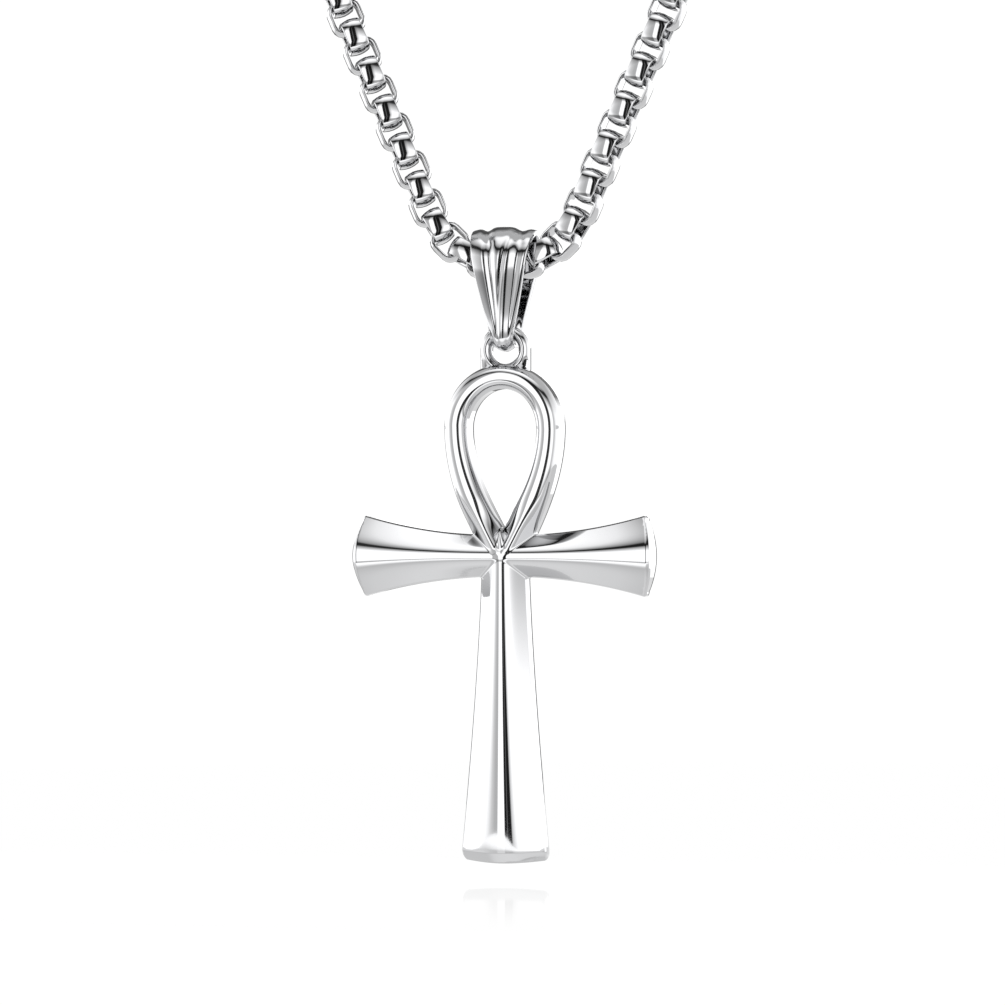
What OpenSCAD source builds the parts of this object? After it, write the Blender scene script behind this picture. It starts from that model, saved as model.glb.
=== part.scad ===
// Ankh pendant on a fluted bail, hung from a whole box chain necklace.
// Origin: the nape of the neck, where the clasp lies. +Z is up, the front of the jewel faces -Y.

/* [Ankh] */
// Span of the cross arms, tip to tip
arm_span = 25.4; // [22:0.2:30]
// Half height of an arm where it leaves the centre
arm_half_root = 1.72; // [1.5:0.02:2]
// Half height of an arm at its flared end
arm_half_end = 3.4; // [2.6:0.1:4]
// Length of the stem below the centre
stem_len = 25.4; // [22:0.2:30]
// Half width of the stem at the centre
stem_half_root = 1.9; // [1.6:0.05:2.2]
// Half width of the stem at its foot
stem_half_end = 3.62; // [2.8:0.02:4.2]
// Half width of the loop, outside
loop_half_w = 4.97; // [4.5:0.01:5.5]
// Half width of the opening in the loop
hole_half_w = 2.86; // [2.4:0.02:3]
// Height of the loop's widest line above the centre of the cross
loop_mid_z = 10.6; // [10.2:0.1:11]
// Height of the loop above its widest line, outside
loop_rise = 5.25; // [4.9:0.05:5.4]
// Height of the opening above the loop's widest line
hole_rise = 3.22; // [2.8:0.02:3.4]
// Thickness of the casting at the crest
crest_t = 2.9; // [2.4:0.1:3.2]
// Height of the upright side walls
wall_t = 1.5; // [1:0.1:1.8]

/* [Eyelet] */
// Outer radius of the cast eyelet
eyelet_r = 2.1; // [2:0.05:2.2]
// Radius of the hole in the eyelet
eyelet_hole_r = 1.15; // [1.12:0.01:1.2]
// Thickness of the eyelet from front to back
eyelet_t = 1.3; // [1.1:0.1:1.4]
// Height of the eyelet's hole above the centre of the cross
eyelet_z = 17.05; // [17:0.05:17.2]

/* [Bail] */
// Half width of the bail at its fold
bail_half_top = 2.72; // [2.5:0.02:2.8]
// Half width of the bail where it passes through the eyelet
bail_half_foot = 0.9; // [0.8:0.05:0.95]
// Radius of the space for the chain under the fold
bail_bore_r = 2.1; // [2.05:0.01:2.2]
// Height of the centre of that space above the eyelet's hole
bail_axis_rise = 7.3; // [7.25:0.01:7.35]
// Wall of the bail on the crest of a flute
bail_wall = 0.8; // [0.7:0.05:0.9]
// Depth of the two wide flutes
flute_depth = 0.3; // [0.15:0.05:0.35]

/* [Chain] */
// Outer length and width of a link
link_out = 3; // [2.98:0.01:3.02]
// Thickness of a link's band at its middle
band_t = 0.4; // [0.36:0.02:0.42]
// Width of a link's band
band_w = 1.66; // [1.5:0.02:1.7]
// Distance from one joint of the chain to the next
pitch = 1.74; // [1.73:0.01:1.76]
// Slope of the two front strands above the horizontal, in degrees
strand_rise = 66; // [60:1:68]
// How far the front strands run straight, measured sideways from the middle
strand_reach = 20; // [16:1:26]
// Radius of the turn round the side of the neck, seen from above
neck_r = 50; // [45:1:55]
// Links on each side of the middle that are modelled one by one
front_links = 30; // [20:1:30]

/* [Clasp] */
// Radius of the clasp's barrel
clasp_r = 2.3; // [2:0.1:2.6]
// Half the distance between the joints at the two ends of the clasp
clasp_reach = 8; // [7:0.5:10]

/* [Hidden] */
$fn = 48;

// Ankh: how the outline and the crest are shaped
back_y = 0.9;
crest_round = 0.42;
arm_bulge = 0.62;
arm_shape = 2.1;
stem_bulge = 0.2;
stem_shape = 1.4;
end_corner = 0.45;
arm_bevel = 0.3;
stem_bevel = 0.85;
bevel_drop = 0.7;
// The stem's crest runs on above the centre, narrowing, to the foot of the opening
hub_rise = 1.95;
hub_half = 0.35;
// The sides of the loop and of its opening narrow as cosines: degrees for each mm
side_rate = 6.6;
hole_rate = 10.8;
side_drop = 8.65;
hole_drop = 8.33;
root_overlap = 1.25;
eyelet_chamfer = 0.15;
eyelet_root_z = 15;

// Stations across a limb, from one edge to the other
ACROSS = [-1, -0.72, -0.42, -0.2, 0, 0.2, 0.42, 0.72, 1];

// Rises from 0 at the edge of a limb to 1 on its rounded crest
function roof(q, half) =
    let (e = crest_round / half)
    1 - (sqrt(q * q + e * e) - e) / (sqrt(1 + e * e) - e);

function front_y(q, half, drop) =
    back_y - wall_t - (crest_t - wall_t) * roof(q, half) + drop * roof(q, half);

// A limb's section: a row of points along its front, then the same row along its back.
// "at" is the distance from the centre, "bow" swells the middle of an end outwards.
function limb_section(at, half, bow, drop) = [
    for (q = ACROSS) [at + bow * (1 - q * q), front_y(q, half, drop), q * half],
    for (i = [len(ACROSS) - 1:-1:0])
        let (q = ACROSS[i]) [at + bow * (1 - q * q), back_y, q * half]
];

// Half height of an arm, and half width of the stem, at a distance from the centre
function arm_half(at) =
    arm_half_root + (arm_half_end - arm_half_root) * pow(at / (arm_span / 2 - arm_bulge), arm_shape);
function stem_half(at) =
    stem_half_root + (stem_half_end - stem_half_root) * pow(at / (stem_len - stem_bevel), stem_shape);

// Joins sections of equal length into one closed skin. A section's points run clockwise
// when it is seen from the far end.
module skin(sections, ring = false) {
    n = len(sections);
    k = len(sections[0]);
    spans = ring ? n : n - 1;
    sides = [
        for (i = [0:spans - 1], j = [0:k - 1])
            let (
                a = i * k + j,
                b = i * k + (j + 1) % k,
                c = ((i + 1) % n) * k + (j + 1) % k,
                d = ((i + 1) % n) * k + j
            )
            each [[a, b, c], [a, c, d]]
    ];
    // An end is closed with strips between the front row and the back row
    caps = ring ? [] : [
        for (j = [0:k / 2 - 2])
            let (f = k - 1 - j)
            each [
                [j, f, f - 1], [j, f - 1, j + 1],
                [(n - 1) * k + j, (n - 1) * k + f - 1, (n - 1) * k + f],
                [(n - 1) * k + j, (n - 1) * k + j + 1, (n - 1) * k + f - 1]
            ]
    ];
    polyhedron([for (s = sections) each s], concat(sides, caps), convexity = 8);
}

// Stations near the end of a limb: how far in from the end, how much narrower, how much lower
function end_stations(bevel) = [
    [bevel + 0.5, 0, 0],
    [bevel, 0, 0],
    [bevel * 0.45, 0.08, bevel_drop * 0.45],
    [0.06, end_corner * 0.5, bevel_drop * 0.9],
    [0, end_corner, bevel_drop]
];

module arm() {
    end_at = arm_span / 2 - arm_bulge;
    grow = function(at) arm_bulge * pow(at / end_at, 6);
    skin([
        for (i = [0:9])
            let (at = i * (end_at - arm_bevel - 0.5) / 10)
            limb_section(at, arm_half(at), grow(at), 0),
        for (e = end_stations(arm_bevel))
            let (at = end_at - e[0])
            limb_section(at, arm_half(at) - e[1], grow(at), e[2])
    ]);
}

module stem() {
    end_at = stem_len - stem_bulge;
    grow = function(at) stem_bulge * pow(at / end_at, 6);
    rotate([0, 90, 0])
    skin([
        limb_section(-hub_rise, hub_half, 0, 0),
        limb_section(-hub_rise / 2, (hub_half + stem_half_root) / 2, 0, 0),
        for (i = [0:11])
            let (at = i * (end_at - stem_bevel - 0.5) / 12)
            limb_section(at, stem_half(at), grow(at), 0),
        for (e = end_stations(stem_bevel))
            let (at = end_at - e[0])
            limb_section(at, stem_half(at) - e[1], grow(at), e[2])
    ]);
}

// One half of the loop, from its top down into the centre of the cross. Each section
// spans the band from the edge of the opening to the outer edge.
function leg_section(inner, outer) =
    let (half = norm(outer - inner) / 2)
    [
        for (q = ACROSS)
            let (p = inner + (outer - inner) * (1 + q) / 2)
            [p[0], front_y(q, half, 0), p[1]],
        for (i = [len(ACROSS) - 1:-1:0])
            let (p = inner + (outer - inner) * (1 + ACROSS[i]) / 2)
            [p[0], back_y, p[1]]
    ];

module half_loop() {
    skin([
        for (a = [90:-7.5:0])
            leg_section(
                [hole_half_w * cos(a), loop_mid_z + hole_rise * sin(a)],
                [loop_half_w * cos(a), loop_mid_z + loop_rise * sin(a)]
            ),
        for (u = [0.1:root_overlap * 0.1:root_overlap])
            let (hole_at = u * hole_drop, side_at = u * side_drop)
            leg_section(
                [hole_half_w * cos(hole_rate * hole_at), loop_mid_z - hole_at],
                [loop_half_w * cos(side_rate * side_at), loop_mid_z - side_at]
            )
    ]);
}

// Section of the eyelet's wall, from its hole to its outside, with broken edges
module eyelet_section() {
    c = eyelet_chamfer;
    h = eyelet_t / 2;
    polygon([
        [eyelet_hole_r, c - h], [eyelet_hole_r + c, -h], [eyelet_r - c, -h], [eyelet_r, c - h],
        [eyelet_r, h - c], [eyelet_r - c, h], [eyelet_hole_r + c, h], [eyelet_hole_r, h - c]
    ]);
}

module eyelet() {
    translate([0, 0, eyelet_z]) {
        rotate([90, 0, 0]) rotate_extrude($fn = 64) eyelet_section();
        for (side = [0, 180]) rotate([0, 0, side])
            translate([0, 0, eyelet_root_z - eyelet_z])
            linear_extrude(eyelet_z - eyelet_root_z) eyelet_section();
    }
}

module ankh() {
    color("silver")
    translate(cross_at) {
        arm();
        mirror([1, 0, 0]) arm();
        stem();
        half_loop();
        mirror([1, 0, 0]) half_loop();
        eyelet();
    }
}

// Bail: a strip folded over the chain, whose two leaves narrow down to a bar in the eyelet.
// The inside of its loop is an arc about the chain, a straight leaf and a small arc at the foot.
bail_axis_z = eyelet_z + bail_axis_rise;
bar_r = 1.02;
foot_r = 0.4;
foot_half_y = 0.45;
foot_z = bar_r + foot_r - bail_axis_rise;
foot_t = 1.15;
// Slope of the leaves, from the common tangent of the two arcs
leaf_turn = acos((bail_bore_r - foot_r) / norm([foot_half_y, foot_z])) - atan(-foot_z / foot_half_y);

// Points down one leaf: [y, z, direction that the strip faces]
LEAF = [
    for (i = [0:12])
        let (a = 90 + (leaf_turn - 90) * i / 12)
        [bail_bore_r * cos(a), bail_bore_r * sin(a), a],
    for (i = [1:9])
        let (
            high = bail_bore_r * [cos(leaf_turn), sin(leaf_turn)],
            low = [foot_half_y, foot_z] + foot_r * [cos(leaf_turn), sin(leaf_turn)],
            p = high + (low - high) * i / 9
        )
        [p[0], p[1], leaf_turn],
    for (i = [1:4])
        let (a = leaf_turn - (90 + leaf_turn) * i / 4)
        [foot_half_y + foot_r * cos(a), foot_z + foot_r * sin(a), a],
    [0, foot_z - foot_r, -90]
];

// How far down the leaf a height is: 0 at the fold, 1 at the foot
function down(z) = (bail_bore_r - z) / (bail_bore_r + foot_r - foot_z);
function bail_half(d) =
    bail_half_foot + (bail_half_top - bail_half_foot) * (1 - pow(d, 0.9)) + 0.12 * sin(180 * d);

// The flutes drift to one side over the shoulder of the fold, and run together at the foot
function shoulder(d) = min(1, d / 0.12);
function fade(d) = 1 - 0.4 * d - 0.5 * pow(d, 6);
function groove(q, at, wide) = exp(-pow((q - at) / wide, 2));
function strip_t(q, d) =
    bail_wall * (1 - 0.42 * pow(abs(q), 3))
    - flute_depth * fade(d) * groove(q, -0.53 + 0.2 * shoulder(d) + 0.05 * d, 0.16)
    - flute_depth * fade(d) * groove(q, 0.54 + 0.16 * shoulder(d) - 0.2 * d, 0.2)
    - 0.12 * shoulder(d) * (1 - d) * groove(q, 0.4 - 0.62 * pow(d, 0.7), 0.09)
    + (foot_t - bail_wall) * pow(d, 6) * (1 - q * q);

STRIP_OUT = [for (i = [-10:10]) i / 10];
STRIP_IN = [1, 0.5, 0, -0.5, -1];

// Inside the eyelet the strip is crowned, so that it is a round bar there
function crown(q, d, half) =
    let (x = q * half) (bar_r - sqrt(bar_r * bar_r - min(x * x, 0.98))) * pow(d, 8);

function bail_section(leaf, side) =
    let (
        d = max(0, min(1, down(leaf[1]))),
        half = bail_half(d),
        face = [cos(leaf[2]), sin(leaf[2])],
        row = function(q, off) [q * half, side * (leaf[0] + off * face[0]), leaf[1] + off * face[1]]
    )
    [
        for (q = STRIP_OUT) row(q, max(strip_t(q, d), crown(q, d, half) + 0.3)),
        for (q = STRIP_IN) row(q, crown(q, d, half))
    ];

module bail() {
    n = len(LEAF);
    color("silver")
    translate(cross_at + [0, 0, bail_axis_z])
    skin([
        for (i = [0:n - 1]) bail_section(LEAF[i], -1),
        for (i = [n - 2:-1:1]) bail_section(LEAF[i], 1)
    ], ring = true);
}

// Chain: every joint lies one pitch from the last along a path that rises from the bail in
// two straight strands, then levels out round the sides of the neck to the nape.
vertex_rise = 24.15;
bend_each = 14.5;
function turn(run) = max(0, min(180, (run - strand_reach) / neck_r * 180 / PI));
function heading(i, run) =
    let (side = turn(run), rise = min(i * bend_each, strand_rise * (1 - side / 180)))
    [cos(rise) * cos(side), cos(rise) * sin(side), sin(rise)];

// State along the chain: [joint number, distance run as seen from above, position]
function next_joint(s) =
    let (go = heading(s[0] + 1, s[1]))
    [s[0] + 1, s[1] + pitch * norm([go[0], go[1]]), s[2] + pitch * go];
JOINTS = [
    for (s = [0, 0, [pitch / 2, 0, 0]]; turn(s[1]) < 90 || s[2][0] > clasp_reach; s = next_joint(s)) s
];
links_each_side = len(JOINTS) - 1;
nape = JOINTS[links_each_side][2];
chain_at = [0, clasp_r - nape[1], -nape[2]];
cross_at = chain_at - [0, 0, vertex_rise];

// The strands are twisted a little, as they hang: degrees on the left and on the right
twist_left = -20;
twist_right = -4;
twist_links = 10;
function twist(i, side) =
    let (m = (twist_left + twist_right) / 2, part = min(abs(i), twist_links) / twist_links)
    (m + part * ((i < 0 ? twist_left : twist_right) - m)) * (1 - side / 180);

// Frame of a link: [centre, along, front, down], front and down square to the chain
function link_frame(i) =
    let (
        k = abs(i),
        s = JOINTS[max(0, k - 1)],
        go = k == 0 ? [1, 0, 0] : heading(k, s[1]),
        at = k == 0 ? [0, 0, 0] : s[2] + go * pitch / 2,
        side = turn(s[1]),
        out = [sin(side), -cos(side), 0],
        under = cross(go, out),
        a = twist(i, side),
        front = out * cos(a) + under * sin(a),
        m = i < 0 ? -1 : 1
    )
    [
        [m * at[0], at[1], at[2]],
        [go[0], m * go[1], m * go[2]],
        [m * front[0], front[1], front[2]],
        cross([go[0], m * go[1], m * go[2]], [m * front[0], front[1], front[2]])
    ];

// A link is a band bent to a rounded square. Its section is flat inside and domed outside.
corner_r = 0.7;
rim_drop = 0.17;
function band_section(at, face) =
    let (
        dir = [cos(face), sin(face)],
        deep = corner_r - band_t,
        row = function(r, w) [at[0] + r * dir[0], at[1] + r * dir[1], w * band_w / 2]
    )
    [
        row(deep, -1), row(corner_r - rim_drop, -1), row(corner_r, 0),
        row(corner_r - rim_drop, 1), row(deep, 1)
    ];

module link() {
    c = link_out / 2 - corner_r;
    skin([
        for (side = [0:90:270], face = [0, 45, 90])
            let (a = side + face, turned = side + 45)
            band_section(c * sqrt(2) * [cos(turned), sin(turned)], a)
    ], ring = true);
}

// The links alternate: an even one shows its band, an odd one its opening
module chain_front() {
    color("silver")
    translate(chain_at)
    for (i = [-front_links:front_links]) {
        f = link_frame(i);
        v = i % 2 == 0 ? f[2] : f[3];
        w = i % 2 == 0 ? f[3] : -f[2];
        multmatrix([
            [f[1][0], v[0], w[0], f[0][0]],
            [f[1][1], v[1], w[1], f[0][1]],
            [f[1][2], v[2], w[2], f[0][2]],
            [0, 0, 0, 1]
        ]) link();
    }
}

// The rest of the chain, up over the shoulders to the clasp, is a round bar of its size
bar_sides = 8;
bar_step = 5;
link_overhang = (link_out - pitch) / 2;
bar_gap = 0.15;
eye_wire = 0.4;
eye_r = 1.4;
eye_lap = 0.5;

function bar_ring(at, i) =
    let (
        run = JOINTS[i][1],
        go = heading(i, run),
        out = [sin(turn(run)), -cos(turn(run)), 0],
        under = cross(go, out)
    )
    [
        for (k = [0:bar_sides - 1])
            let (a = -k * 360 / bar_sides)
            JOINTS[i][2] + at * go + link_out / 2 * (out * cos(a) + under * sin(a))
    ];

module chain_side() {
    last = links_each_side;
    skin([
        bar_ring(link_overhang + bar_gap, front_links),
        for (i = [front_links + bar_step:bar_step:last - bar_step]) bar_ring(0, i),
        bar_ring(-eye_lap - eye_wire - 2 * bar_gap, last)
    ]);
}

module chain_back() {
    color("silver")
    translate(chain_at) {
        chain_side();
        mirror([1, 0, 0]) chain_side();
    }
}

// Clasp: a plain closed barrel with an eye at each end for the last link
module eye() {
    turned = links_each_side % 2 == 0 ? 90 : 0;
    rotate([turned, 0, 0]) rotate_extrude() translate([eye_r, 0]) circle(r = eye_wire);
}

module clasp() {
    half = nape[0] + eye_lap - 2 * eye_r;
    edge = 0.7;
    color("silver")
    translate(chain_at + [0, nape[1], nape[2]]) {
        rotate([0, 90, 0]) rotate_extrude(convexity = 4) polygon([
            [0, -half], [clasp_r - edge, -half],
            for (a = [-75:15:0]) [clasp_r - edge + edge * cos(a), edge - half + edge * sin(a)],
            for (a = [0:15:75]) [clasp_r - edge + edge * cos(a), half - edge + edge * sin(a)],
            [clasp_r - edge, half], [0, half]
        ]);
        for (side = [-1, 1]) translate([side * (nape[0] + eye_lap - eye_r), 0, 0]) eye();
    }
}

ankh();
bail();
chain_front();
chain_back();
clasp();
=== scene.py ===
import math

import bpy
import numpy as np
from mathutils import Matrix, Vector
from mathutils.geometry import delaunay_2d_cdt


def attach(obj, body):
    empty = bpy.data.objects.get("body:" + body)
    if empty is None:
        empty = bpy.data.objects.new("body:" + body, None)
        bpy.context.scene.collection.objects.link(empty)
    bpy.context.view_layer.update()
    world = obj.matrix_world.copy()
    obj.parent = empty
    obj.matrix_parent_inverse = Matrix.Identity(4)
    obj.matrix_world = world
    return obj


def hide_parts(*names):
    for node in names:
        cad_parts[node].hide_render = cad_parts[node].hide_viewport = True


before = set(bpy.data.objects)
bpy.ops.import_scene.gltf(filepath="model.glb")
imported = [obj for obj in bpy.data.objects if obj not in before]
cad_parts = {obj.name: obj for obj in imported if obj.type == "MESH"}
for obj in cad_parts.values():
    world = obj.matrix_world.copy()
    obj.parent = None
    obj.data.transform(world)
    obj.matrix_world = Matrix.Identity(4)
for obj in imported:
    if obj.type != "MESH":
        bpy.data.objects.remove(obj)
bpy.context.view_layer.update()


# The ankh: one solid steel casting with a flat back, low upright walls and a front that rises
# to a rounded crest along every limb. Its outline and crests are drawn here in millimetres
# from the centre of the cross, x to the right and z up, and its limbs run into each other
# with the small hollows that the polishing wheel leaves.
MM = 0.001
PENDANT_Y = -98.03993
CROSS = np.array([0.0, PENDANT_Y, -184.93282])
BACK_Y = 0.9
WALL, LOOP_WALL = 1.5, 2.0
CREST = 2.9
ARM_REACH, ARM_BULGE, ARM_BEVEL = 12.7, 0.62, 0.3
STEM_REACH, STEM_BULGE, STEM_BEVEL = 25.4, 0.2, 0.85
ARM_END = ARM_REACH - ARM_BULGE
STEM_END = STEM_REACH - STEM_BULGE
END_CORNER, ARM_DROP, STEM_DROP = 0.45, 0.25, 0.7
LOOP_MID = 10.6
LOOP_HALF, LOOP_RISE, LOOP_DROP, LOOP_RATE = 4.97, 5.25, 8.65, math.radians(6.6)
HOLE_HALF, HOLE_RISE, HOLE_DROP, HOLE_RATE = 2.86, 3.22, 8.33, math.radians(10.8)


def corner_cut(inward, bevel):
    """How much narrower a limb is, this far in from its end."""
    s = 1 - np.clip(inward / bevel, 0, 1)
    return END_CORNER * (1 - np.sqrt(np.maximum(0, 1 - s * s)))


def bevel_cut(inward, bevel, drop):
    """How much lower the front is, this far in from the end of a limb."""
    s = 1 - inward / bevel
    return drop * np.clip((s + np.sqrt(s * s + 0.0015)) / 2 - 0.0002, 0, 1)


def arm_half(at):
    return 1.72 + 1.68 * (np.maximum(at, 0) / ARM_END) ** 2.1 - corner_cut(ARM_END - at, ARM_BEVEL)


def stem_half(at):
    widening = (np.maximum(at, 0) / (STEM_REACH - STEM_BEVEL)) ** 1.4
    return 1.9 + 1.72 * widening - corner_cut(STEM_END - at, STEM_BEVEL)


# A limb's section: flat along the crest, turning over a soft shoulder into a nearly flat side
q_table = np.linspace(0, 6, 6001)
steepness = np.tanh((q_table / 0.34) ** 1.5)
fall = np.concatenate([[0], np.cumsum((steepness[1:] + steepness[:-1]) / 2)])
fall /= fall[1000]


def ridge(q, wall=WALL):
    """Thickness of a limb at q, which is 0 on its crest and 1 at its edge."""
    return wall + (CREST - wall) * (1 - np.interp(np.abs(q), q_table, fall))


def dome(q, wall):
    """Thickness of the loop's band at q, which is flatter than a limb and rounder at its edges."""
    return wall + (CREST - wall) * (1 - np.minimum(np.abs(q), 1.3) ** 3)


def arm_thickness(x, z):
    at = np.abs(x)
    for _ in range(3):
        q = z / arm_half(at)
        bulge = ARM_BULGE * (at / ARM_END) ** 6 * np.clip(1 - q * q, 0, 1)
        at = np.minimum(np.abs(x) - bulge, ARM_END)
    return ridge(q) - bevel_cut(ARM_END - at, ARM_BEVEL, ARM_DROP)


def stem_thickness(x, z):
    """The stem, with its crest running on above the centre to the foot of the opening."""
    at = np.maximum(-z, 0)
    for _ in range(3):
        half = np.where(z < 0, stem_half(at), 1.9 - 1.55 * np.clip(z / 1.95, 0, 1))
        q = x / half
        bulge = STEM_BULGE * (at / STEM_END) ** 6 * np.clip(1 - q * q, 0, 1)
        at = np.minimum(np.maximum(-z, 0) - bulge, STEM_END)
    rise = ridge(q) - bevel_cut(STEM_END - at, STEM_BEVEL, STEM_DROP)
    return rise - 6 * np.maximum(z - 1.98, 0)


def leg_thickness(x, z):
    """The loop's right leg. t is 0 at the edge of the opening and 1 at the outer edge."""
    up = np.maximum(z - LOOP_MID, 0)
    low, high = np.full_like(x, -1.2), np.full_like(x, 3.0)
    for _ in range(30):
        t = (low + high) / 2
        wide = HOLE_HALF + (LOOP_HALF - HOLE_HALF) * t
        tall = HOLE_RISE + (LOOP_RISE - HOLE_RISE) * t
        outside = (x / wide) ** 2 + (up / tall) ** 2 > 1
        low, high = np.where(outside, t, low), np.where(outside, high, t)
    s = np.full_like(x, 0.5)
    for _ in range(12):
        u = np.maximum(LOOP_MID - z, 0) / (HOLE_DROP + (LOOP_DROP - HOLE_DROP) * s)
        inner = HOLE_HALF * np.cos(HOLE_RATE * HOLE_DROP * u)
        outer = LOOP_HALF * np.cos(LOOP_RATE * LOOP_DROP * u)
        s = np.clip((x - inner) / (outer - inner), -2, 3)
    q = 2 * np.where(z > LOOP_MID, t, s) - 1
    high = np.clip((z - 1.6) / 3.5, 0, 1)
    high = high * high * (3 - 2 * high)
    wall = WALL + (LOOP_WALL - WALL) * high
    return ridge(q, wall) * (1 - high) + dome(q, wall) * high - 5 * np.maximum(u - 1.22, 0)


def blend_up(a, b, hollow=0.22):
    """The higher of two surfaces, with a small hollow where they meet."""
    near = np.clip(1 - np.abs(a - b) / hollow, 0, 1)
    return np.maximum(a, b) + near * near * hollow / 4


def ankh_thickness(x, z):
    t = blend_up(arm_thickness(x, z), stem_thickness(x, z))
    return blend_up(t, blend_up(leg_thickness(x, z), leg_thickness(-x, z)))


def meet(first, second):
    """Where two polylines cross: the point, and the segment of each."""
    for i in range(len(first) - 1):
        p, r = first[i], first[i + 1] - first[i]
        for j in range(len(second) - 1):
            c, s = second[j], second[j + 1] - second[j]
            bottom = r[0] * s[1] - r[1] * s[0]
            if abs(bottom) < 1e-12:
                continue
            a = ((c[0] - p[0]) * s[1] - (c[1] - p[1]) * s[0]) / bottom
            b = ((c[0] - p[0]) * r[1] - (c[1] - p[1]) * r[0]) / bottom
            if 0 <= a <= 1 and 0 <= b <= 1:
                return p + a * r, i, j


def join_round(first, second, radius=0.22, steps=5):
    """Two edges that cross in an inner corner, joined there with a small fillet."""
    corner, i, j = meet(first, second)
    first = np.array([p for p in first[:i + 1] if np.hypot(*(p - corner)) > radius * 1.4])
    second = np.array([p for p in second[j + 1:] if np.hypot(*(p - corner)) > radius * 1.4])
    a = corner + (first[-1] - corner) / np.hypot(*(first[-1] - corner)) * radius
    b = corner + (second[0] - corner) / np.hypot(*(second[0] - corner)) * radius
    t = np.linspace(0, 1, steps + 1)[:, None]
    arc = a * (1 - t) ** 2 + 2 * corner * t * (1 - t) + b * t ** 2
    return np.vstack([first, arc, second])


in_from_end = np.linspace(0, 1, 9) ** 2
q_cap = np.linspace(0, 1, 13)
stem_cap = np.stack([q_cap * stem_half(STEM_END), -(STEM_END + STEM_BULGE * (1 - q_cap ** 2))], 1)
at = np.concatenate([STEM_END - STEM_BEVEL * in_from_end[1:],
                     np.linspace(STEM_END - STEM_BEVEL - 0.3, 0.5, 80)])
stem_side = np.vstack([stem_cap, np.stack([stem_half(at), -at], 1)])
at = np.concatenate([np.linspace(0.5, ARM_END - ARM_BEVEL - 0.1, 44),
                     (ARM_END - ARM_BEVEL * in_from_end)[::-1]])
arm_under = np.stack([at, -arm_half(at)], 1)
q_cap = np.linspace(-1, 1, 33)[1:-1]
arm_cap = np.stack([ARM_END + ARM_BULGE * (1 - q_cap ** 2), q_cap * arm_half(ARM_END)], 1)
arm_over = np.stack([at, arm_half(at)], 1)[::-1]
u = np.linspace(1.2, 0.01, 60)
turn = np.radians(np.linspace(0, 90, 41))
loop_side = np.vstack([
    np.stack([LOOP_HALF * np.cos(LOOP_RATE * LOOP_DROP * u), LOOP_MID - LOOP_DROP * u], 1),
    np.stack([LOOP_HALF * np.cos(turn), LOOP_MID + LOOP_RISE * np.sin(turn)], 1),
])
u = np.linspace(1.0, 0.01, 50)
hole_side = np.vstack([
    np.stack([HOLE_HALF * np.cos(HOLE_RATE * HOLE_DROP * u), LOOP_MID - HOLE_DROP * u], 1),
    np.stack([HOLE_HALF * np.cos(turn), LOOP_MID + HOLE_RISE * np.sin(turn)], 1),
])
right_edge = join_round(join_round(stem_side, np.vstack([arm_under, arm_cap, arm_over])), loop_side)
outline = np.vstack([right_edge, (right_edge * [-1, 1])[-2:0:-1]])
opening = np.vstack([hole_side, (hole_side * [-1, 1])[-2:0:-1]])


def inwards(loop, solid_inside):
    """At each point of a closed edge, the mitred step of length 1 into the metal."""
    before, after = loop - np.roll(loop, 1, 0), np.roll(loop, -1, 0) - loop
    sides = [np.stack([-d[:, 1], d[:, 0]], 1) / np.hypot(d[:, 0], d[:, 1])[:, None] for d in (before, after)]
    both = sides[0] + sides[1]
    both /= np.hypot(both[:, 0], both[:, 1])[:, None]
    step = both / np.maximum((both * sides[0]).sum(1), 0.4)[:, None]
    return (step if solid_inside else -step), (both if solid_inside else -both)


def room(points, loops):
    """Distance of each point from the nearest edge, less than 0 outside the metal."""
    nearest, inside = np.full(len(points), 1e9), np.zeros(len(points), bool)
    for loop in loops:
        a, b = loop, np.roll(loop, -1, 0)
        for p, r in zip(a, b - a):
            t = np.clip(((points - p) @ r) / (r @ r), 0, 1)
            away = points - p - t[:, None] * r
            nearest = np.minimum(nearest, np.hypot(away[:, 0], away[:, 1]))
            crosses = (p[1] > points[:, 1]) != (p[1] + r[1] > points[:, 1])
            side = points[:, 0] < p[0] + (points[:, 1] - p[1]) * r[0] / (r[1] if r[1] else 1e-12)
            inside ^= crosses & side
    return np.where(inside, nearest, -nearest)


# Steps from the front face over the broken edge, down the wall and round to the flat back:
# inset, depth below the top of the wall, share of the height, and how the surface faces there
EDGE = [(0.105, 0.012, 1, 0.37), (0.055, 0.045, 1, 0.32), (0.012, 0.1, 1, 0.28), (0, 0.16, 1, 0),
        (0, 0.62, 0, 0), (0, 0.56, 0, -0.1), (0.01, 0.32, 0, -0.14), (0.035, 0.12, 0, -0.2), (0.13, 0, 0, -1)]
FRONT_INSET = 0.13


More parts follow.
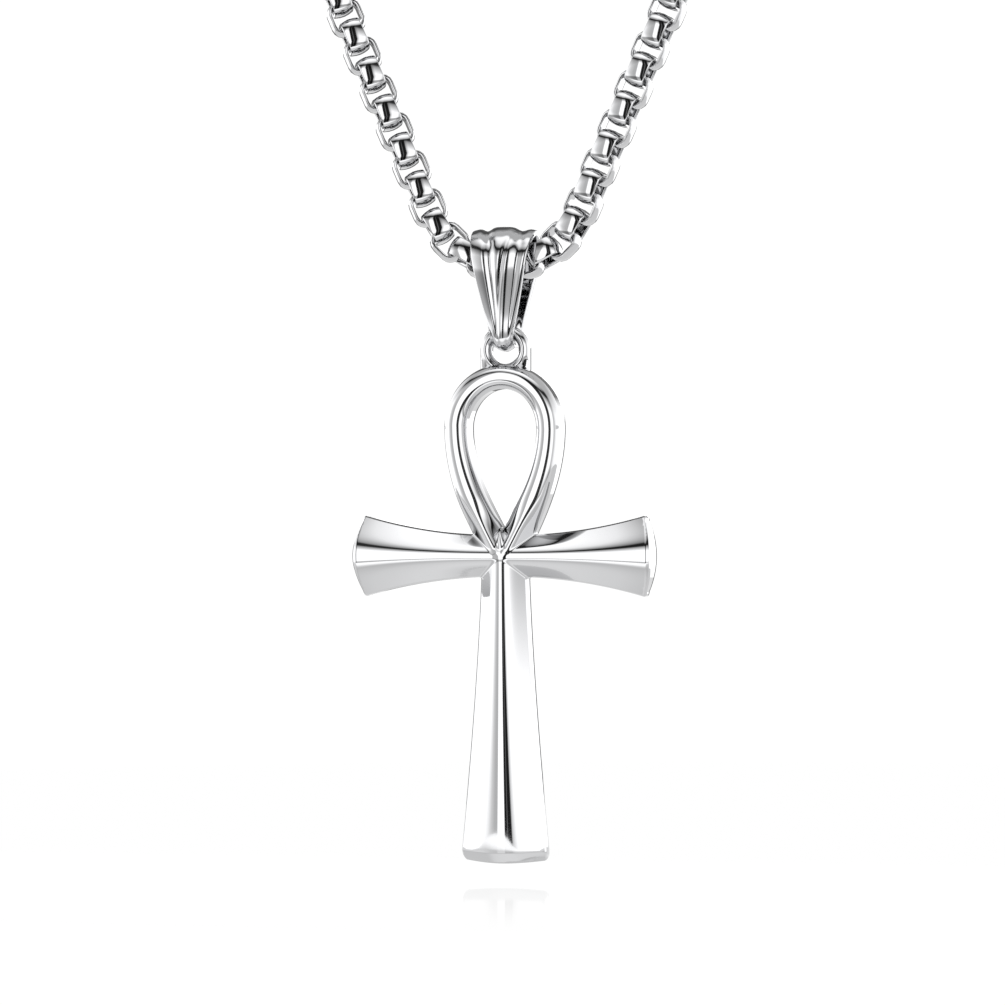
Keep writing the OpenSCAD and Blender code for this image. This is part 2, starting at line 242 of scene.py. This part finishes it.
def cast_plate(loops, inner_points, thickness, back_y):
    """A plate with a modelled front, upright walls and a flat back: its points, faces and
    normals, in millimetres."""
    front, ways = [], []
    for k, loop in enumerate(loops):
        ways.append(inwards(loop, k == 0))
        front.append(loop + FRONT_INSET * ways[-1][0])
    inner_points = inner_points[room(inner_points, loops) > FRONT_INSET + 0.05]
    flat = np.vstack(front + [inner_points])
    starts = np.cumsum([0] + [len(loop) for loop in loops])
    rings = [[(s + i, s + (i + 1) % len(loop)) for i in range(len(loop))] for s, loop in zip(starts, loops)]
    made = delaunay_2d_cdt([Vector(p) for p in flat], sum(rings, []), [], 2, 1e-7)
    flat = np.array([tuple(v) for v in made[0]])
    tilt = 0.01
    x, z = flat[:, 0], flat[:, 1]
    slope_x = (thickness(x + tilt, z) - thickness(x - tilt, z)) / (2 * tilt)
    slope_z = (thickness(x, z + tilt) - thickness(x, z - tilt)) / (2 * tilt)
    points = [np.stack([x, back_y - thickness(x, z), z], 1)]
    normals = [np.stack([-slope_x, -np.ones_like(x), -slope_z], 1)]
    faces = []
    for f in made[2]:
        if min(f) >= starts[1] and max(f) < starts[2]:
            continue
        a, b, c = (flat[i] for i in f)
        clockwise = (b[0] - a[0]) * (c[1] - a[1]) - (b[1] - a[1]) * (c[0] - a[0]) < 0
        faces.append(tuple(reversed(f)) if clockwise else tuple(f))
    count = len(flat)
    rims = []
    for k, (loop, (step, away)) in enumerate(zip(loops, ways)):
        n = len(loop)
        last = np.arange(starts[k], starts[k] + n)
        for inset, depth, share, face in EDGE:
            ring = loop + inset * step
            top = thickness(ring[:, 0], ring[:, 1])
            y = back_y - (top - depth) if share else np.full(n, back_y - depth)
            points.append(np.stack([ring[:, 0], y, ring[:, 1]], 1))
            out = np.sqrt(1 - face * face)
            normals.append(np.stack([-away[:, 0] * out, np.full(n, -face), -away[:, 1] * out], 1))
            here = count + np.arange(n)
            for i in range(n):
                j = (i + 1) % n
                quad = (last[i], here[i], here[j], last[j])
                faces.append(quad if k == 0 else quad[::-1])
            count += n
            last = here
        rims.append(last)
    back = np.vstack([loop + EDGE[-1][0] * step for loop, (step, _) in zip(loops, ways)])
    made = delaunay_2d_cdt([Vector(p) for p in back], sum(rings, []), [], 2, 1e-7)
    known = np.concatenate(rims)
    for f in made[2]:
        if min(f) >= starts[1]:
            continue
        a, b, c = (back[i] for i in f)
        clockwise = (b[0] - a[0]) * (c[1] - a[1]) - (b[1] - a[1]) * (c[0] - a[0]) < 0
        f = tuple(int(known[i]) for i in f)
        faces.append(f if clockwise else tuple(reversed(f)))
    return np.vstack(points), faces, np.vstack(normals)


def grid(rows, across):
    return np.array([point(r, q) for point, rs in rows for r in rs for q in across])


across = np.sinh(np.linspace(-1, 1, 31) * 1.9) / np.sinh(1.9)
arm_rows = np.concatenate([np.linspace(1.9, 11.5, 46),
                           ARM_END - np.array([0.44, 0.36, 0.3, 0.24, 0.16, 0.08])])
stem_rows = np.concatenate([np.linspace(2.0, 24.0, 84),
                            STEM_END - np.array([1.0, 0.92, 0.88, 0.85, 0.82, 0.78, 0.65, 0.45, 0.25, 0.1])])


def on_arm(side):
    return lambda at, q: (side * (at + ARM_BULGE * (at / ARM_END) ** 6 * (1 - q * q)), q * arm_half(at))


def on_stem(at, q):
    return q * stem_half(at), -(at + STEM_BULGE * (at / STEM_END) ** 6 * (1 - q * q))


def on_loop(side):
    def point(way, q):
        t = (1 + q) / 2
        if way > 1:
            a = math.radians(way)
            return (side * math.cos(a) * (HOLE_HALF + (LOOP_HALF - HOLE_HALF) * t),
                    LOOP_MID + math.sin(a) * (HOLE_RISE + (LOOP_RISE - HOLE_RISE) * t))
        inner = HOLE_HALF * math.cos(HOLE_RATE * HOLE_DROP * way)
        outer = LOOP_HALF * math.cos(LOOP_RATE * LOOP_DROP * way)
        return (side * (inner + (outer - inner) * t),
                LOOP_MID - way * (HOLE_DROP + (LOOP_DROP - HOLE_DROP) * t))
    return point


right_rows = np.concatenate([np.linspace(0.02, 0.86, 44), np.linspace(3, 90, 32)])
limbs = grid([(on_arm(1), arm_rows), (on_arm(-1), arm_rows), (on_stem, stem_rows),
              (on_loop(1), right_rows), (on_loop(-1), right_rows[:-1])], across)
middle = np.array([(x, z) for x in np.arange(-3.0, 3.01, 0.06) for z in np.arange(-2.6, 3.9, 0.06)])
in_middle = (np.abs(limbs[:, 0]) < 3.04) & (np.abs(limbs[:, 1] - 0.65) < 3.29)
ankh_plate = cast_plate([outline, opening], np.vstack([limbs[~in_middle], middle]), ankh_thickness, BACK_Y)

# Its eyelet is cast on: a thinner ring on the top of the loop, with straight sides into it
EYELET_Z, EYELET_R, EYELET_HOLE, EYELET_T, EYELET_ROUND = 17.05, 2.1, 1.15, 1.3, 0.4
eyelet_mid = (EYELET_R + EYELET_HOLE) / 2
eyelet_band = (EYELET_R - EYELET_HOLE) / 2


def eyelet_thickness(x, z):
    off = (np.hypot(x, z - EYELET_Z) - eyelet_mid) / eyelet_band
    return EYELET_T - EYELET_ROUND * np.minimum(off * off, 1)


turn = np.radians(np.linspace(0, 360, 96, endpoint=False))
ring = np.stack([np.cos(turn), np.sin(turn)], 1)
reach = np.where(ring[:, 1] >= 0, EYELET_R, EYELET_R / np.maximum(np.abs(ring[:, 0]), np.abs(ring[:, 1])))
eyelet_plate = cast_plate(
    [ring * reach[:, None] + [0, EYELET_Z], ring * EYELET_HOLE + [0, EYELET_Z]],
    np.array([p * r + [0, EYELET_Z] for p in ring for r in np.linspace(1.45, 1.8, 5)]),
    eyelet_thickness, EYELET_T / 2)


def make_piece(name, parts, place, material):
    """A mesh in the row frame, in metres, from parts in millimetres: points, faces and normals."""
    points, faces, normals, start = [], [], [], 0
    for p, f, n in parts:
        points.append(p)
        normals.append(n)
        faces += [tuple(int(i) + start for i in face) for face in f]
        start += len(p)
    mesh = bpy.data.meshes.new(name)
    mesh.from_pydata(((np.vstack(points) + place) * MM).tolist(), [], faces)
    mesh.polygons.foreach_set("use_smooth", [True] * len(mesh.polygons))
    normals = np.vstack(normals)
    normals /= np.linalg.norm(normals, axis=1)[:, None]
    mesh.normals_split_custom_set_from_vertices(normals.tolist())
    mesh.materials.append(material)
    piece = bpy.data.objects.new(name, mesh)
    bpy.context.scene.collection.objects.link(piece)
    return piece


class Wire:
    """A socket in a node tree. Sums on it are written as plain Python."""

    def __init__(self, tree, socket=None):
        self.tree, self.socket = tree, socket

    def node(self, kind, settings=None, sockets=None, out=0):
        made = self.tree.nodes.new(kind)
        for name, value in (settings or {}).items():
            if name == "stops":
                while len(made.color_ramp.elements) < len(value):
                    made.color_ramp.elements.new(0.5)
                for stop, (at, level) in zip(made.color_ramp.elements, value):
                    stop.position = at
                    stop.color = (level, level, level, 1) if isinstance(level, (int, float)) else (*level, 1)
            else:
                setattr(made, name, value)
        for name, value in (sockets or {}).items():
            if isinstance(value, Wire):
                self.tree.links.new(value.socket, made.inputs[name])
            else:
                made.inputs[name].default_value = value
        return Wire(self.tree, made.outputs[out] if made.outputs else None)

    def sum(self, operation, a, b=0.0):
        return self.node("ShaderNodeMath", {"operation": operation}, {0: a, 1: b})

    def __add__(self, other):
        return self.sum("ADD", self, other)

    def __sub__(self, other):
        return self.sum("SUBTRACT", self, other)

    def __rsub__(self, other):
        return self.sum("SUBTRACT", other, self)

    def __mul__(self, other):
        return self.sum("MULTIPLY", self, other)

    def __truediv__(self, other):
        return self.sum("DIVIDE", self, other)

    __radd__, __rmul__ = __add__, __mul__


def polished_steel(name, tone, roughness, waves, scratches, seed):
    """Mirror-polished stainless steel: a faint waviness of the surface, hairlines left by the
    wheel, and a very slight drift of tone. Sizes are in metres."""
    material = bpy.data.materials.new(name)
    material.use_nodes = True
    tree = material.node_tree
    tree.nodes.clear()
    w = Wire(tree)
    place = w.node("ShaderNodeTexCoord", out=3)
    moved = w.node("ShaderNodeMapping", {"vector_type": "POINT"},
                   {0: place, "Location": (seed, seed * 0.7, seed * 0.3)})
    wave = w.node("ShaderNodeTexNoise", None,
                  {"Vector": moved, "Scale": waves, "Detail": 2.0, "Roughness": 0.45})
    lines = w.node("ShaderNodeMapping", {"vector_type": "POINT"},
                   {0: moved, "Rotation": (0.3, 0.5, 0.2), "Scale": (1.0, 1.0, 14.0)})
    hair = w.node("ShaderNodeTexNoise", None,
                  {"Vector": lines, "Scale": scratches, "Detail": 4.0, "Roughness": 0.7})
    rubbed = w.node("ShaderNodeMapRange", None, {"Value": hair, "From Min": 0.52, "From Max": 0.8})
    dull = rubbed * 0.05 + wave * 0.02 + (roughness - 0.01)
    darker = (*(c * 0.985 for c in tone), 1)
    lighter = (*(min(1, c * 1.015) for c in tone), 1)
    shade = w.node("ShaderNodeMix", {"data_type": "RGBA"}, {0: wave, 6: darker, 7: lighter}, out=2)
    relief = wave + hair * 0.02
    bump = w.node("ShaderNodeBump", None, {"Strength": 0.045, "Distance": 0.00004, "Height": relief})
    shader = w.node("ShaderNodeBsdfPrincipled", None,
                    {"Base Color": shade, "Metallic": 1.0, "Roughness": dull, "Normal": bump})
    w.node("ShaderNodeOutputMaterial", None, {"Surface": shader})
    return material


ankh_steel = polished_steel("polished steel of the ankh", (0.55, 0.552, 0.56), 0.035, 260.0, 5200.0, 1.3)
ankh = make_piece("ankh_casting", [ankh_plate, eyelet_plate], CROSS, ankh_steel)
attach(ankh, "pendant")
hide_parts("ankh")


# The bail: a cast steel strip folded over the chain. It is widest at the fold, where flutes
# start under a plain scalloped band, and its two leaves narrow to a round bar that passes
# through the eyelet and lets the ankh swing.
BAIL_AXIS = 24.35
BORE_R, BAR_R, FOOT_R, FOOT_Y = 2.1, 1.02, 0.4, 0.45
FOOT_Z = BAR_R + FOOT_R - 7.3
LEAF_TURN = math.acos((BORE_R - FOOT_R) / math.hypot(FOOT_Y, FOOT_Z)) - math.atan2(-FOOT_Z, FOOT_Y)


def leaf_path():
    """Points down the inside of a leaf: y, z and the direction that the strip faces."""
    path = []
    for a in np.linspace(math.pi / 2, LEAF_TURN, 41):
        path.append((BORE_R * math.cos(a), BORE_R * math.sin(a), a))
    high = np.array(path[-1][:2])
    low = np.array([FOOT_Y + FOOT_R * math.cos(LEAF_TURN), FOOT_Z + FOOT_R * math.sin(LEAF_TURN)])
    for t in np.linspace(0, 1, 37)[1:]:
        path.append((*(high + (low - high) * t), LEAF_TURN))
    for a in np.linspace(LEAF_TURN, -math.pi / 2, 15)[1:]:
        path.append((FOOT_Y + FOOT_R * math.cos(a), FOOT_Z + FOOT_R * math.sin(a), a))
    for y in np.linspace(FOOT_Y, 0, 5)[1:]:
        path.append((y, FOOT_Z - FOOT_R, -math.pi / 2))
    # The bends run softly into the straight leaf
    path, last = np.array(path), len(path) - 1
    reach = [min(8, i, last - i) for i in range(last + 1)]
    return [path[i - k:i + k + 1].mean(0) for i, k in enumerate(reach)]


def groove(q, at, wide):
    return np.exp(-((q - at) / wide) ** 2)


def strip_thickness(q, d):
    """Thickness of the strip at q across it and d down it."""
    shoulder = min(1, d / 0.12)
    fade = 1 - 0.4 * d - 0.5 * d ** 6
    return (0.8 * (1 - 0.42 * np.abs(q) ** 3)
            - 0.3 * fade * groove(q, -0.53 + 0.2 * shoulder + 0.05 * d, 0.16)
            - 0.3 * fade * groove(q, 0.54 + 0.16 * shoulder - 0.2 * d, 0.2)
            - 0.12 * shoulder * (1 - d) * groove(q, 0.4 - 0.62 * d ** 0.7, 0.09)
            + 0.35 * d ** 6 * (1 - q * q))


def bail_sections():
    path = leaf_path()
    out = np.linspace(-1, 1, 73)
    rows = []
    for side, legs in ((-1, path), (1, path[-2:0:-1])):
        for y, z, a in legs:
            d = min(1, max(0, (BORE_R - z) / (BORE_R + FOOT_R - FOOT_Z)))
            half = 0.9 + 1.82 * (1 - d ** 0.9) + 0.12 * math.sin(math.pi * d)
            lift = lambda q: (BAR_R - np.sqrt(BAR_R ** 2 - np.minimum((q * half) ** 2, 0.98))) * d ** 8
            top = np.maximum(strip_thickness(out, d), lift(out) + 0.3)
            edge = 0.07
            q = np.concatenate([[-1, -1, -1 + 0.02 / half], out[1:-1], [1 - 0.02 / half, 1, 1],
                                [1 - edge / half], np.linspace(0.9, -0.9, 13), [edge / half - 1]])
            off = np.concatenate([[lift(-1) + edge, top[0] - edge, top[0] - 0.02], top[1:-1],
                                  [top[-1] - 0.02, top[-1] - edge, lift(1) + edge], [lift(1)],
                                  lift(np.linspace(0.9, -0.9, 13)), [lift(-1)]])
            rows.append(np.stack([q * half, side * (y + off * math.cos(a)), z + off * math.sin(a)], 1))
    return rows


def ring_skin(rows):
    """Faces that join closed sections in a closed ring."""
    n, k = len(rows), len(rows[0])
    return [((i + 1) % n * k + j, (i + 1) % n * k + (j + 1) % k, i * k + (j + 1) % k, i * k + j)
            for i in range(n) for j in range(k)]


def soft_normals(points, faces):
    """Normals of a quad mesh, smooth all over."""
    f = np.array(faces)
    flat = np.cross(points[f[:, 2]] - points[f[:, 0]], points[f[:, 3]] - points[f[:, 1]])
    flat /= np.maximum(np.linalg.norm(flat, axis=1), 1e-9)[:, None]
    total = np.zeros_like(points)
    for corner in range(4):
        np.add.at(total, f[:, corner], flat)
    return total


bail_rows = bail_sections()
bail_points = np.vstack(bail_rows)
bail_faces = ring_skin(bail_rows)
bail_steel = polished_steel("polished steel of the bail", (0.54, 0.542, 0.551), 0.08, 420.0, 7000.0, 4.1)
bail = make_piece("bail_casting", [(bail_points, bail_faces, soft_normals(bail_points, bail_faces))],
                  CROSS + [0, 0, BAIL_AXIS], bail_steel)
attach(bail, "hanger")
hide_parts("bail")


# The chain: a rolled box chain of 309 steel links. Each link is a domed band bent to a
# rounded square and turned a quarter against the next one, so that the chain shows its
# bands and its openings by turns. It rises in two strands and runs round the neck.
PITCH, LINK_OUT, BAND_T, BAND_W = 1.74, 3.0, 0.4, 1.66
STRAND_RISE, STRAND_REACH, NECK_R, BEND_EACH = 66.0, 20.0, 50.0, 14.5
FRONT_LINKS, SIDE_LINKS = 30, 154
CHAIN = CROSS + [0, 0, 24.15]


def side_turn(run):
    return max(0.0, min(180.0, math.degrees((run - STRAND_REACH) / NECK_R)))


def heading(i, run):
    side = side_turn(run)
    rise = math.radians(min(i * BEND_EACH, STRAND_RISE * (1 - side / 180)))
    side = math.radians(side)
    return np.array([math.cos(rise) * math.cos(side), math.cos(rise) * math.sin(side), math.sin(rise)])


def link_places():
    """Centre and turn of every link: number, centre, matrix."""
    joints = [(0.0, np.array([PITCH / 2, 0.0, 0.0]))]
    for k in range(1, SIDE_LINKS + 1):
        run, at = joints[-1]
        go = heading(k, run)
        joints.append((run + PITCH * math.hypot(go[0], go[1]), at + PITCH * go))
    for i in range(-SIDE_LINKS, SIDE_LINKS + 1):
        k, m = abs(i), -1 if i < 0 else 1
        run, start = joints[max(0, k - 1)]
        go = heading(k, run) if k else np.array([1.0, 0, 0])
        centre = start + go * PITCH / 2 if k else np.zeros(3)
        side = side_turn(run)
        out = np.array([math.sin(math.radians(side)), -math.cos(math.radians(side)), 0])
        under = np.cross(go, out)
        twist = -12 + min(k, 10) / 10 * ((-20 if i < 0 else -4) + 12)
        twist *= (1 - side / 180) * min(1, max(0, (60 - k) / 30))
        a = math.radians(twist)
        front = (out * math.cos(a) + under * math.sin(a)) * [m, 1, 1]
        go = go * [1, m, m]
        down = np.cross(go, front)
        v, w = (front, down) if i % 2 == 0 else (down, -front)
        yield i, centre * [m, 1, 1], Matrix(np.stack([go, v, w], 1).tolist())


def link_tree(material):
    """Geometry nodes that set a link on every point and turn it as its point says."""
    tree = bpy.data.node_groups.new("box chain", "GeometryNodeTree")
    face = tree.interface
    face.new_socket("Geometry", in_out="INPUT", socket_type="NodeSocketGeometry")
    for name, kind, value in (
            ("Link length", "NodeSocketFloat", LINK_OUT * MM),
            ("Band thickness", "NodeSocketFloat", BAND_T * MM),
            ("Band width", "NodeSocketFloat", BAND_W * MM),
            ("Corner radius", "NodeSocketFloat", 1.0 * MM),
            ("Dome", "NodeSocketFloat", 0.17 * MM), ("Corner steps", "NodeSocketInt", 4),
            ("Section points", "NodeSocketInt", 16),
            ("Loose roll", "NodeSocketFloat", 0.014),
            ("Seed", "NodeSocketInt", 11)):
        face.new_socket(name, in_out="INPUT", socket_type=kind).default_value = value
    face.new_socket("Geometry", in_out="OUTPUT", socket_type="NodeSocketGeometry")
    w = Wire(tree)
    given = tree.nodes.new("NodeGroupInput")
    size = {s.name: Wire(tree, s) for s in given.outputs if s.name}
    middle = size["Link length"] - size["Band thickness"]
    square = w.node("GeometryNodeCurvePrimitiveQuadrilateral", {"mode": "RECTANGLE"},
                    {"Width": middle, "Height": middle})
    path = w.node("GeometryNodeFilletCurve", {"mode": "POLY"},
                  {"Curve": square, "Radius": size["Corner radius"] - size["Band thickness"] / 2,
                   "Count": size["Corner steps"], "Limit Radius": False})
    circle = w.node("GeometryNodeCurvePrimitiveCircle", {"mode": "RADIUS"},
                    {"Resolution": size["Section points"], "Radius": 1.0})
    where = w.node("GeometryNodeInputPosition")
    x = w.node("ShaderNodeSeparateXYZ", None, {0: where})
    y = w.node("ShaderNodeSeparateXYZ", None, {0: where}, out=1)
    wide = w.node("ShaderNodeClamp", None, {"Value": y * 1.25, "Min": -1.0, "Max": 1.0})
    full = w.node("ShaderNodeClamp", None, {"Value": x * 2.2, "Min": -1.0, "Max": 1.0})
    crown = size["Band thickness"] / 2 - size["Dome"] * wide * wide
    hollow = size["Band thickness"] / 2
    inside = w.node("ShaderNodeMath", {"operation": "LESS_THAN"}, {0: x, 1: 0.0})
    thick = full * (crown * (1 - inside) + hollow * inside)
    shaped = w.node("GeometryNodeSetPosition", None, {
        "Geometry": circle,
        "Position": w.node("ShaderNodeCombineXYZ", None, {"X": thick, "Y": wide * size["Band width"] / 2})})
    band = w.node("GeometryNodeCurveToMesh", None, {"Curve": path, "Profile Curve": shaped})
    smooth = w.node("GeometryNodeSetShadeSmooth", {"domain": "FACE"},
                    {"Geometry": band, "Shade Smooth": True})
    turned = w.node("GeometryNodeInputNamedAttribute", {"data_type": "FLOAT_VECTOR"}, {"Name": "turn"})
    turn = w.node("FunctionNodeEulerToRotation", None, {0: turned})
    links = w.node("GeometryNodeInstanceOnPoints", None,
                   {"Points": size["Geometry"], "Instance": smooth, "Rotation": turn})
    roll = w.node("FunctionNodeRandomValue", {"data_type": "FLOAT"},
                  {"Min": size["Loose roll"] * -1.0, "Max": size["Loose roll"], "Seed": size["Seed"]}, out=1)
    rolled = w.node("GeometryNodeRotateInstances", None, {
        "Instances": links,
        "Rotation": w.node("ShaderNodeCombineXYZ", None, {"X": roll}), "Local Space": True})
    real = w.node("GeometryNodeRealizeInstances", None, {"Geometry": rolled})
    dressed = w.node("GeometryNodeSetMaterial", None, {"Geometry": real, "Material": material})
    w.node("NodeGroupOutput", None, {0: dressed})
    return tree


def make_links(name, tree, places, corner_steps, section_points, roll, node):
    mesh = bpy.data.meshes.new(name + " points")
    mesh.from_pydata([((CHAIN + c) * MM).tolist() for _, c, _ in places], [], [])
    turn = mesh.attributes.new("turn", "FLOAT_VECTOR", "POINT")
    turn.data.foreach_set("vector", [a for _, _, m in places for a in m.to_euler()])
    points = bpy.data.objects.new(name + " points", mesh)
    bpy.context.scene.collection.objects.link(points)
    maker = points.modifiers.new("links", "NODES")
    maker.node_group = tree
    sockets = [s for s in tree.interface.items_tree if s.item_type == "SOCKET"]
    keys = {s.name: s.identifier for s in sockets if s.in_out == "INPUT"}
    maker[keys["Corner steps"]] = corner_steps
    maker[keys["Section points"]] = section_points
    maker[keys["Loose roll"]] = roll
    made = bpy.data.meshes.new_from_object(points.evaluated_get(bpy.context.evaluated_depsgraph_get()))
    bpy.data.objects.remove(points)
    made.name = name
    piece = bpy.data.objects.new(name, made)
    bpy.context.scene.collection.objects.link(piece)
    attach(piece, "necklace")
    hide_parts(node)
    return piece


chain_steel = polished_steel("polished steel of the chain", (0.55, 0.552, 0.56), 0.05, 600.0, 9000.0, 7.7)
every_link = list(link_places())
chain_tree = link_tree(chain_steel)
shown = [place for place in every_link if abs(place[0]) <= FRONT_LINKS]
hidden = [place for place in every_link if abs(place[0]) > FRONT_LINKS]
make_links("chain_links_front", chain_tree, shown, 4, 16, 0.014, "chain_front")
make_links("chain_links_back", chain_tree, hidden, 2, 6, 0.0, "chain_back")


# The clasp: a plain closed barrel of turned steel with an eye at each end, in which the last
# links of the chain hang. The barrel is turned and polished; it keeps its shape and gets a polished steel
# material.
clasp_steel = polished_steel("turned steel of the clasp", (0.55, 0.552, 0.558), 0.09, 500.0, 6000.0, 9.2)
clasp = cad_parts["clasp"]
clasp.data.materials.clear()
clasp.data.materials.append(clasp_steel)


# The stage: a plain white floor that mirrors a little in front of the jewel, and a white tent
# of light. Narrow dark gaps in the tent draw the black lines along the polished crests.
FLOOR_Z, FLOOR_R, FLOOR_Y = -211.35 * MM, 145 * MM, -18 * MM


def make_floor():
    material = bpy.data.materials.new("white floor")
    material.use_nodes = True
    tree = material.node_tree
    tree.nodes.clear()
    w = Wire(tree)
    place = w.node("ShaderNodeTexCoord", out=3)
    y = w.node("ShaderNodeSeparateXYZ", None, {0: place}, out=1)
    fade = w.node("ShaderNodeMapRange", {"interpolation_type": "SMOOTHSTEP"}, {
        "Value": y, "From Min": -0.163, "From Max": -0.104, "To Min": 0.0, "To Max": 0.2})
    near = w.node("ShaderNodeMapRange", {"interpolation_type": "SMOOTHSTEP"}, {
        "Value": y, "From Min": -0.095, "From Max": -0.075, "To Min": 1.0, "To Max": 0.0})
    # Its front part lights the foot of the stem as brightly as the tent does
    lit = w.node("ShaderNodeMapRange", {"interpolation_type": "SMOOTHSTEP"}, {
        "Value": y, "From Min": -0.143, "From Max": -0.126, "To Min": 1.9, "To Max": 1.0})
    seen = w.node("ShaderNodeLightPath")
    strength = w.node("ShaderNodeMix", {"data_type": "FLOAT"}, {0: seen, 2: lit, 3: 1.0})
    white = w.node("ShaderNodeEmission", None, {"Color": (1, 1, 1, 1), "Strength": strength})
    gloss = w.node("ShaderNodeBsdfGlossy", None, {"Color": (1, 1, 1, 1), "Roughness": 0.05})
    mixed = w.node("ShaderNodeMixShader", None, {0: fade * near, 1: white, 2: gloss})
    w.node("ShaderNodeOutputMaterial", None, {"Surface": mixed})
    turn = np.radians(np.arange(0, 360, 5))
    mesh = bpy.data.meshes.new("floor")
    rim = [(FLOOR_R * math.cos(a), FLOOR_R * math.sin(a) + FLOOR_Y, FLOOR_Z) for a in turn]
    mesh.from_pydata(rim, [], [range(len(rim))])
    mesh.materials.append(material)
    floor = bpy.data.objects.new("floor", mesh)
    bpy.context.scene.collection.objects.link(floor)


# Brightness of the tent by height above the horizon, ahead of the jewel and behind it, and by
# direction round the jewel, in degrees: 0 is straight in front, 90 to its right, 180 behind.
AHEAD = [(-90, 0.62), (-60, 0.5), (-35, 0.42), (-24, 0.3), (-18, 0.42), (-14, 1.0), (17, 1.0), (26, 0.55),
         (33, 0.25), (36, 0.02), (43, 0.02), (46, 0.26), (53, 0.5), (60, 0.76), (75, 1.0), (90, 1.0)]
BEHIND = [(-90, 0.62), (-30, 0.6), (-12, 1.0), (14, 1.0), (26, 0.7), (38, 0.4), (90, 0.36)]
ROUND = [(-180, 1.0), (-66, 1.0), (-56, 0.8), (-45, 0.55), (-30, 0.4), (-19, 0.38), (-17.5, 1.0),
         (-2, 1.0), (0, 0.01), (9, 0.01), (10, 0.13), (11, 0.13), (12, 0.01), (24, 0.01), (27, 0.5),
         (32, 0.75), (37, 1.0), (60, 1.0), (76, 0.4), (96, 0.9), (150, 1.0), (180, 1.0)]
# A dark card far behind draws the thin line round the jewel: where it stands, and at what
# heights, with a slit in it through which the glossy floor sees white
CARD_ROUND = [(-180, 0.88), (-142, 0.88), (-132, 0.0), (168, 0.0), (173, 0.88), (180, 0.88)]
CARD_HEIGHT = [(-90, 0.0), (-40, 0.0), (-20, 1.0), (2.2, 1.0), (3.2, 0.0), (7, 0.0), (9, 1.0),
               (40, 1.0), (60, 0.0)]


def make_tent():
    world = bpy.data.worlds.new("white tent")
    bpy.context.scene.world = world
    world.use_nodes = True
    tree = world.node_tree
    tree.nodes.clear()
    w = Wire(tree)
    way = w.node("ShaderNodeTexCoord", out=0)
    x, y, z = (w.node("ShaderNodeSeparateXYZ", None, {0: way}, out=k) for k in range(3))
    height = w.node("ShaderNodeMath", {"operation": "ARCSINE"}, {0: z}) / math.pi + 0.5
    around = w.node("ShaderNodeMath", {"operation": "ARCTAN2"}, {0: x, 1: y * -1.0}) / (2 * math.pi) + 0.5
    ahead, behind, card_high = (
        w.node("ShaderNodeValToRGB", {"stops": [((a + 90) / 180, v) for a, v in table]}, {0: height})
        for table in (AHEAD, BEHIND, CARD_HEIGHT))
    by_side, card_wide = (
        w.node("ShaderNodeValToRGB", {"stops": [((a + 180) / 360, v) for a, v in table]}, {0: around})
        for table in (ROUND, CARD_ROUND))
    back = w.node("ShaderNodeMapRange", {"interpolation_type": "SMOOTHSTEP"}, {
        "Value": y, "From Min": -0.12, "From Max": 0.12, "To Min": 0.0, "To Max": 1.0})
    level = w.node("ShaderNodeMapRange", None, {"Value": back, "To Min": ahead, "To Max": behind})
    # Overhead, directions round the jewel run together and lose their meaning
    upright = w.node("ShaderNodeMapRange", {"interpolation_type": "SMOOTHSTEP"}, {
        "Value": z, "From Min": 0.5, "From Max": 0.9, "To Min": 0.0, "To Max": 1.0})
    side = w.node("ShaderNodeMapRange", None, {"Value": upright, "To Min": by_side, "To Max": 1.0})
    seen = w.node("ShaderNodeLightPath")
    card = card_high * card_wide
    tent = level * side * (1 - card) * 2.0
    strength = w.node("ShaderNodeMix", {"data_type": "FLOAT"}, {0: seen, 2: tent, 3: 1.05})
    glow = w.node("ShaderNodeBackground", None, {"Color": (1, 1, 1, 1), "Strength": strength})
    w.node("ShaderNodeOutputWorld", None, {"Surface": glow})


make_floor()
make_tent()
bpy.context.scene.view_settings.view_transform = "Standard"

# The camera stands 14 degrees to the right of the front, level with the middle of the view
VIEW_TURN = math.radians(14)
LENS = 216.0
SIGHT = Vector((math.cos(VIEW_TURN) * -0.25, PENDANT_Y + math.sin(VIEW_TURN) * -0.25, CROSS[2] + 4.43)) * MM
camera_data = bpy.data.cameras.new("camera")
camera_data.lens = LENS
camera_data.sensor_width = 36.0
camera_data.sensor_fit = "HORIZONTAL"
camera_data.clip_start, camera_data.clip_end = 0.01, 20.0
camera = bpy.data.objects.new("camera", camera_data)
bpy.context.scene.collection.objects.link(camera)
distance = LENS / 36.0 * 83.2 * MM
camera.location = SIGHT + Vector((math.sin(VIEW_TURN), -math.cos(VIEW_TURN), 0)) * distance
camera.rotation_euler = (math.pi / 2, 0, VIEW_TURN)
bpy.context.scene.camera = camera
